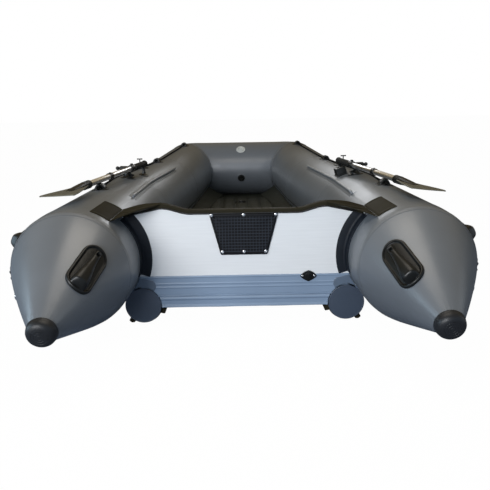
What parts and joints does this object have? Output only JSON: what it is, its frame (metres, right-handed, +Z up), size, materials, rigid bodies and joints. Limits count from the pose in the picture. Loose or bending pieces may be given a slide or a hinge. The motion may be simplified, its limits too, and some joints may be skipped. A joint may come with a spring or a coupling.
{
  "type": "inflatable dinghy",
  "caption": "Inflatable dinghy with a square bow, tapered stern cones, ply transom with motor pad, ribbed air floor on keel tubes, grab lines and oars in swinging rowlocks.",
  "frame": {"origin": "centre of the outer motor pad's aft face", "axes": "+X to starboard, +Y forward to the bow, +Z up"},
  "size_m": [1.9598, 3.8601, 0.6614],
  "materials": {
    "hull_fabric": "satin PVC-coated fabric",
    "keel_fabric": "satin PVC-coated fabric",
    "band_rubber": "satin, moulded ribs",
    "transom_board": "light grey coated plywood",
    "floor_fabric": "satin PVC-coated fabric",
    "strake_rubber": "satin",
    "black_fabric": "glossy PVC-coated fabric",
    "pad_plastic": "moulded grid",
    "stainless_steel": "polished",
    "poppet_plastic": "gloss",
    "oar_aluminium": "anodised",
    "oar_plastic": "satin",
    "pale_plastic": "satin",
    "rope": "braided",
    "black_rubber": "satin moulded rubber",
    "black_plastic": "satin moulded plastic"
  },
  "bodies": {
    "hull": {"tube_port": "hull_fabric", "tube_starboard": "hull_fabric", "tube_bow": "hull_fabric", "cone_port": "hull_fabric", "cone_starboard": "hull_fabric", "cone_end_caps": "black_rubber", "bulkheads": "hull_fabric", "transom_board": "transom_board", "transom_trim": "black_rubber", "transom_flanges": "black_rubber", "transom_gussets": "black_fabric", "motor_pad_outer": "pad_plastic", "motor_pad_inner": "pad_plastic", "transom_screws": "stainless_steel", "transom_band": "band_rubber", "keel_band": "band_rubber", "floor_cushion": "floor_fabric", "keel_tube_port": "keel_fabric", "keel_tube_starboard": "keel_fabric", "keel_guards": "black_fabric", "carry_handles": "black_rubber", "rubrail": "strake_rubber", "rope_holders": "black_plastic", "grab_lines": "rope", "seat_rails": "hull_fabric", "valve_bodies": "black_plastic", "relief_valve": "pale_plastic", "tow_patches": "black_fabric", "drain_flange": "black_plastic", "accessory_base": "black_plastic", "oarlock_bases": "black_plastic", "oar_clips": "black_plastic"},
    "rowlock_starboard": {"oarlock_pivot_starboard": "black_plastic"},
    "collar_starboard": {"oar_collar_starboard": "black_plastic"},
    "oar_starboard": {"oar_shaft_starboard": "oar_aluminium", "oar_blade_starboard": "oar_plastic", "oar_grip_starboard": "black_plastic"},
    "knob_starboard": {"clamp_knob_starboard": "black_plastic"},
    "rowlock_port": {"oarlock_pivot_port": "black_plastic"},
    "collar_port": {"oar_collar_port": "black_plastic"},
    "oar_port": {"oar_shaft_port": "oar_aluminium", "oar_blade_port": "oar_plastic", "oar_grip_port": "black_plastic"},
    "knob_port": {"clamp_knob_port": "black_plastic"},
    "tow_ring_starboard": {"tow_ring_starboard": "stainless_steel"},
    "tow_ring_port": {"tow_ring_port": "stainless_steel"},
    "tow_ring_bow": {"tow_ring_bow": "stainless_steel"},
    "valve_cap_starboard": {"valve_cap_starboard": "black_plastic"},
    "valve_poppet_starboard": {"valve_poppet_starboard": "poppet_plastic"},
    "valve_cap_port": {"valve_cap_port": "black_plastic"},
    "valve_poppet_port": {"valve_poppet_port": "poppet_plastic"},
    "valve_cap_bow": {"valve_cap_bow": "black_plastic"},
    "valve_poppet_bow": {"valve_poppet_bow": "poppet_plastic"},
    "valve_cap_floor": {"valve_cap_floor": "black_plastic"},
    "valve_poppet_floor": {"valve_poppet_floor": "poppet_plastic"},
    "drain_plug": {"drain_plug": "black_plastic"}
  },
  "joints": [
    {"name": "oar_swing_starboard", "type": "hinge", "parent": "hull", "child": "rowlock_starboard", "pos_m": [0.696, 0.896, 0.2105], "axis": [0.2588, 0, 0.9659], "range_deg": [0, 95]},
    {"name": "oar_swing_port", "type": "hinge", "parent": "hull", "child": "rowlock_port", "pos_m": [-0.696, 0.896, 0.2105], "axis": [0.2588, 0, -0.9659], "range_deg": [0, 95]},
    {"name": "oar_dip_starboard", "type": "hinge", "parent": "rowlock_starboard", "child": "collar_starboard", "pos_m": [0.696, 0.896, 0.2105], "axis": [0.9877, 0.1564, 0], "range_deg": [0, 6]},
    {"name": "oar_dip_port", "type": "hinge", "parent": "rowlock_port", "child": "collar_port", "pos_m": [-0.696, 0.896, 0.2105], "axis": [0.9877, -0.1564, 0], "range_deg": [0, 6]},
    {"name": "oar_feather_starboard", "type": "hinge", "parent": "collar_starboard", "child": "oar_starboard", "pos_m": [0.65551, 0.88959, 0.2105], "axis": [-0.1564, 0.9874, 0.0227], "range_deg": [-15, 30]},
    {"name": "oar_feather_port", "type": "hinge", "parent": "collar_port", "child": "oar_port", "pos_m": [-0.65551, 0.88959, 0.2105], "axis": [-0.1564, -0.9874, -0.0227], "range_deg": [-15, 30]},
    {"name": "clamp_knob_turn_starboard", "type": "hinge", "parent": "collar_starboard", "child": "knob_starboard", "pos_m": [0.696, 0.896, 0.2105], "axis": [0.9877, 0.1564, 0], "continuous": true},
    {"name": "clamp_knob_turn_port", "type": "hinge", "parent": "collar_port", "child": "knob_port", "pos_m": [-0.696, 0.896, 0.2105], "axis": [0.9877, -0.1564, 0], "continuous": true},
    {"name": "tow_ring_swing_starboard", "type": "hinge", "parent": "hull", "child": "tow_ring_starboard", "pos_m": [0.95092, -0.18, -0.19365], "axis": [0, 1, 0], "range_deg": [-125, 8]},
    {"name": "tow_ring_swing_port", "type": "hinge", "parent": "hull", "child": "tow_ring_port", "pos_m": [-0.95092, -0.18, -0.19365], "axis": [0, -1, 0], "range_deg": [-125, 8]},
    {"name": "tow_ring_swing_bow", "type": "hinge", "parent": "hull", "child": "tow_ring_bow", "pos_m": [0, 3.16733, -0.1385], "axis": [-1, 0, 0], "range_deg": [-118, 8]},
    {"name": "valve_cap_turn_starboard", "type": "hinge", "parent": "hull", "child": "valve_cap_starboard", "pos_m": [0.47024, 0.366, -0.01825], "axis": [-0.9511, 0, 0.309], "range_deg": [0, 120]},
    {"name": "valve_poppet_press_starboard", "type": "slide", "parent": "hull", "child": "valve_poppet_starboard", "axis": [0.9511, 0, -0.309], "range_m": [0, 0.005], "stiffness_N_per_m": 600},
    {"name": "valve_cap_turn_port", "type": "hinge", "parent": "hull", "child": "valve_cap_port", "pos_m": [-0.47024, 0.366, -0.01825], "axis": [0.9511, 0, 0.309], "range_deg": [0, 120]},
    {"name": "valve_poppet_press_port", "type": "slide", "parent": "hull", "child": "valve_poppet_port", "axis": [-0.9511, 0, -0.309], "range_m": [0, 0.005], "stiffness_N_per_m": 600},
    {"name": "valve_cap_turn_bow", "type": "hinge", "parent": "hull", "child": "valve_cap_bow", "pos_m": [0, 2.69452, -0.0802], "axis": [0, -0.9659, -0.2588], "range_deg": [0, 120]},
    {"name": "valve_poppet_press_bow", "type": "slide", "parent": "hull", "child": "valve_poppet_bow", "axis": [0, 0.9659, 0.2588], "range_m": [0, 0.005], "stiffness_N_per_m": 600},
    {"name": "valve_cap_turn_floor", "type": "hinge", "parent": "hull", "child": "valve_cap_floor", "pos_m": [0, 2.146, -0.2155], "axis": [0, 0, 1], "range_deg": [0, 120]},
    {"name": "valve_poppet_press_floor", "type": "slide", "parent": "hull", "child": "valve_poppet_floor", "axis": [0, 0, -1], "range_m": [0, 0.005], "stiffness_N_per_m": 600},
    {"name": "drain_plug_pull", "type": "slide", "parent": "hull", "child": "drain_plug", "axis": [0, -1, 0], "range_m": [0, 0.045]}
  ],
  "couplings": [
    {"joint": "oar_dip_starboard", "follows": "oar_swing_starboard", "ratio": 0.06},
    {"joint": "oar_dip_port", "follows": "oar_swing_port", "ratio": 0.06}
  ]
}
